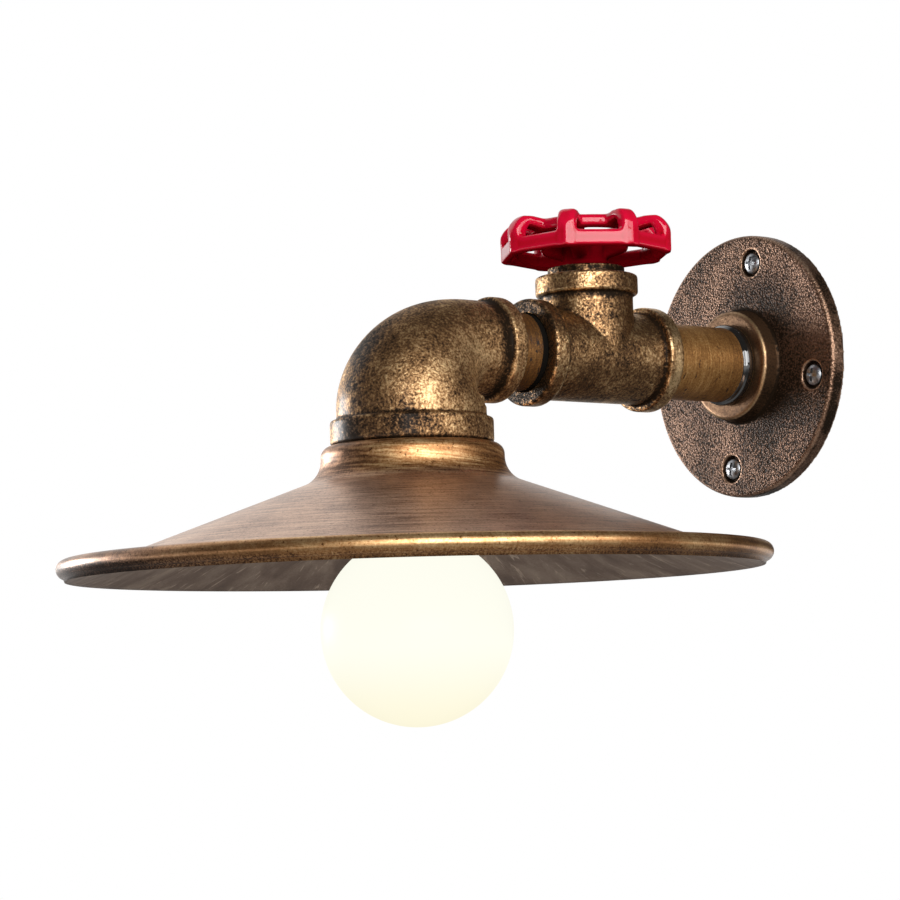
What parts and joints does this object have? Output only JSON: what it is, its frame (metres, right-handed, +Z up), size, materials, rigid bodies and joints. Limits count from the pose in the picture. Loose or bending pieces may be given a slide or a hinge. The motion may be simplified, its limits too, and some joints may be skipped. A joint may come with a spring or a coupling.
{
  "type": "pipe wall light",
  "caption": "Wall light of pipe fittings on a round flange, with a valve handwheel that turns the switch, a wide spun shade under a reducing elbow and a glass globe lamp.",
  "frame": {"origin": "centre of the wall flange's back face, which lies on the wall", "axes": "+Y into the wall, so the arm runs along -Y; +Z up; +X to the right for a person facing the wall"},
  "size_m": [0.2216, 0.2621, 0.1644],
  "materials": {
    "antique_casting": "black base with rubbed bronze",
    "antique_pipe": "rubbed bronze",
    "shade_bronze": "brushed bronze",
    "red_enamel": "gloss enamel",
    "zinc": "zinc plated",
    "brass": "bare",
    "ceramic": "glazed ceramic",
    "opal_glass": "opal",
    "clear_glass": "clear",
    "cap_metal": "bare",
    "black_plastic": "moulded",
    "brown_plastic": "moulded",
    "white_plastic": "moulded",
    "filament_wire": "drawn",
    "grey_sheath": "flexible sheath",
    "brown_core": "insulated",
    "black_core": "insulated",
    "blue_core": "insulated"
  },
  "bodies": {
    "arm": {"wall_flange": "antique_casting", "wall_screws": "zinc", "wall_nipple": "antique_pipe", "tee": "antique_casting", "bonnet_plug": "antique_casting", "elbow_nipple": "antique_pipe", "switch_case": "zinc", "switch_base": "brown_plastic", "switch_lugs": "brass", "switch_washer": "zinc", "switch_nut": "zinc", "terminal_block": "white_plastic", "block_screws": "brass", "supply_flex": "grey_sheath", "live_core": "brown_core", "switched_core": "black_core", "neutral_core": "blue_core"},
    "wheel": {"handwheel": "red_enamel", "wheel_washer": "zinc", "wheel_screw": "zinc", "switch_spindle": "zinc", "switch_rotor": "white_plastic", "switch_wiper": "brass"},
    "head": {"reducing_elbow": "antique_casting", "shade": "shade_bronze", "holder_sleeve": "brass", "retaining_ring": "zinc", "holder_body": "ceramic", "screw_shell": "brass", "shell_plate": "brass", "shell_rivets": "brass", "centre_contact": "brass", "contact_rivet": "brass", "terminal_clamps": "brass", "terminal_screws": "zinc", "lamp_flex": "grey_sheath", "holder_cores": "black_core"},
    "lamp_seat": {"lamp_tip": "zinc"},
    "lamp": {"lamp_globe": "opal_glass", "lamp_cap": "cap_metal", "lamp_insulator": "black_plastic", "lamp_stem": "clear_glass", "lamp_leads": "zinc", "lamp_filament": "filament_wire"}
  },
  "joints": [
    {"name": "wheel_turn", "type": "hinge", "parent": "arm", "child": "wheel", "pos_m": [0, -0.0724, 0.0329], "axis": [0, 0, 1], "range_deg": [-90, 0]},
    {"name": "head_swing", "type": "hinge", "parent": "arm", "child": "head", "pos_m": [0, -0.116, 0], "axis": [0, 1, 0], "range_deg": [-90, 90]},
    {"name": "lamp_travel", "type": "slide", "parent": "head", "child": "lamp_seat", "axis": [0, 0, -1], "range_m": [0, 0.0109]},
    {"name": "lamp_turn", "type": "hinge", "parent": "lamp_seat", "child": "lamp", "pos_m": [0, -0.1443, -0.05], "axis": [0, 0, -1], "range_deg": [0, 1080]}
  ],
  "couplings": [
    {"joint": "lamp_travel", "follows": "lamp_turn", "m_per_rad": 0.00057757}
  ]
}
